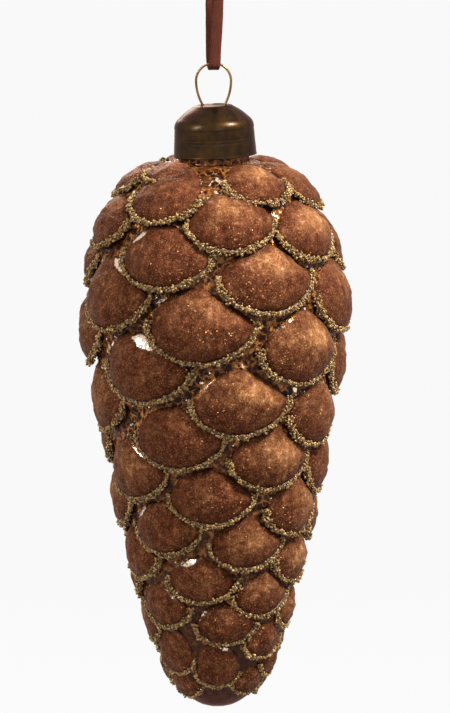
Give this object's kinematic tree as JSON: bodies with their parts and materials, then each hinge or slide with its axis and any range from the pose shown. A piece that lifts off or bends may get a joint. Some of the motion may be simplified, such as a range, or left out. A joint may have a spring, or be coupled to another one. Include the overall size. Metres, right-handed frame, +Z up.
{
  "type": "pine cone ornament",
  "caption": "Hanging glass pine cone ornament with overlapping beaded scales, a brass cap, a wire eye and a suede lace loop.",
  "frame": {"origin": "the inside top of the lace's loop, directly under its knot, where a hook or twig carries the ornament", "axes": "+Z up along the hang line, the cone's long axis; +X to the right and -Y to the front, the side that the picture shows"},
  "size_m": [0.065, 0.0647, 0.1943],
  "materials": {
    "glass": "amber-brown blown glass, with a grainy brown coat on its scales",
    "beads": "small old-gold beads set in glue",
    "cap_brass": "pressed and antiqued, satin",
    "wire_brass": "drawn wire, bright",
    "suede": "flat brown suede lace with a short nap"
  },
  "bodies": {
    "root": {"glass_cone": "glass", "bead_edging": "beads", "cap": "cap_brass", "wire_hanger": "wire_brass", "suede_lace": "suede", "lace_knot": "suede"}
  },
  "joints": []
}
